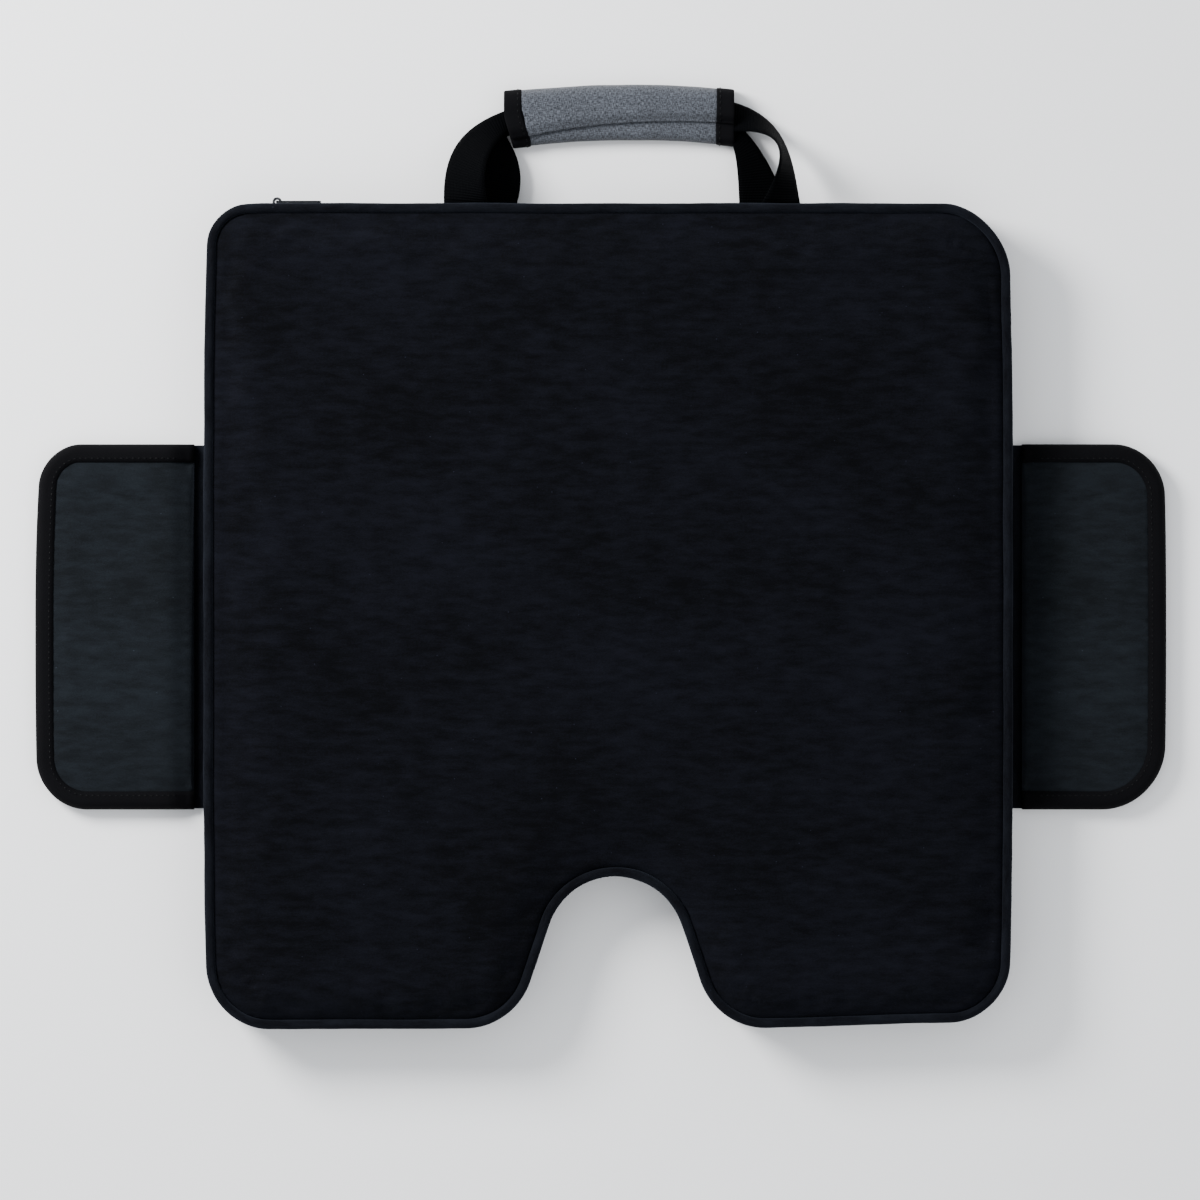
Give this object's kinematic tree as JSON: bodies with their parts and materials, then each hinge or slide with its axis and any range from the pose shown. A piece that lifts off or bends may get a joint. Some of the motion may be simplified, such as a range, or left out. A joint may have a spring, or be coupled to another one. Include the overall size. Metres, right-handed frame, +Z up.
{
  "type": "seat cushion",
  "caption": "Boxed foam seat cushion with a U-shaped tailbone cutout, folding side flaps, a zip in the front boxing and a webbing carry handle with a hook-and-loop wrapped grip.",
  "frame": {"origin": "centre of the main pad's flat underside, on the surface that it lies on", "axes": "+X to the right across both side flaps, +Y from the tailbone cutout to the carry handle, +Z up through the pad's thickness"},
  "size_m": [0.619, 0.5154, 0.04],
  "materials": {
    "nap_cloth": "short-nap black cloth with a faint blue-grey sheen",
    "base_cloth": "matte black plain cloth",
    "foam": "open-cell cream foam",
    "charcoal_cloth": "matte charcoal knit",
    "binding": "black woven binding tape",
    "webbing": "black woven webbing",
    "heather_cloth": "heather grey brushed cloth",
    "hook_loop": "black hook-and-loop tape",
    "zip_tape": "black woven tape",
    "zip_coil": "black nylon coil",
    "zip_metal": "black painted zinc"
  },
  "bodies": {
    "pad": {"top_panel": "nap_cloth", "base_panel": "base_cloth", "foam_core": "foam", "boxing_band": "nap_cloth", "boxing_strip_lower": "nap_cloth", "boxing_strip_upper": "nap_cloth", "top_piping": "nap_cloth", "bottom_piping": "nap_cloth", "zip_tape_upper": "zip_tape", "zip_tape_lower": "zip_tape", "zip_chain": "zip_coil", "zip_stop_left": "zip_metal", "zip_stop_right": "zip_metal"},
    "left_flap": {"left_flap_top_panel": "charcoal_cloth", "left_flap_base_panel": "base_cloth", "left_flap_foam": "foam", "left_flap_binding": "binding", "left_flap_hinge_web": "binding"},
    "right_flap": {"right_flap_top_panel": "charcoal_cloth", "right_flap_base_panel": "base_cloth", "right_flap_foam": "foam", "right_flap_binding": "binding", "right_flap_hinge_web": "binding"},
    "handle": {"strap_upper": "webbing", "strap_lower": "webbing", "grip_wrap": "heather_cloth", "grip_padding": "foam", "grip_loop_strip": "hook_loop", "grip_wrap_binding_left": "binding", "grip_wrap_binding_right": "binding"},
    "grip_cover": {"grip_flap": "heather_cloth", "grip_hook_strip": "hook_loop", "grip_flap_binding_left": "binding", "grip_flap_binding_right": "binding"},
    "slider": {"zip_slider": "zip_metal"},
    "pull": {"zip_pull": "zip_metal"}
  },
  "joints": [
    {"name": "left_flap_fold", "type": "hinge", "parent": "pad", "child": "left_flap", "pos_m": [-0.221, -0.006, 0], "axis": [0, 1, 0], "range_deg": [-178, 40]},
    {"name": "right_flap_fold", "type": "hinge", "parent": "pad", "child": "right_flap", "pos_m": [0.221, -0.006, 0], "axis": [0, -1, 0], "range_deg": [-178, 40]},
    {"name": "handle_swing", "type": "hinge", "parent": "pad", "child": "handle", "pos_m": [0.006, 0.225, 0.0172], "axis": [1, 0, 0], "range_deg": [-80, 100], "deforming": ["strap_upper", "strap_lower"]},
    {"name": "grip_cover_open", "type": "hinge", "parent": "handle", "child": "grip_cover", "pos_m": [0.006, 0.29, 0.0027], "axis": [-1, 0, 0], "range_deg": [0, 140]},
    {"name": "zip_slide", "type": "slide", "parent": "pad", "child": "slider", "axis": [1, 0, 0], "range_m": [0, 0.3444]},
    {"name": "zip_pull_swing", "type": "hinge", "parent": "slider", "child": "pull", "pos_m": [-0.1807, 0.2261, 0.0172], "axis": [0, 0, 1], "range_deg": [0, 180]}
  ]
}
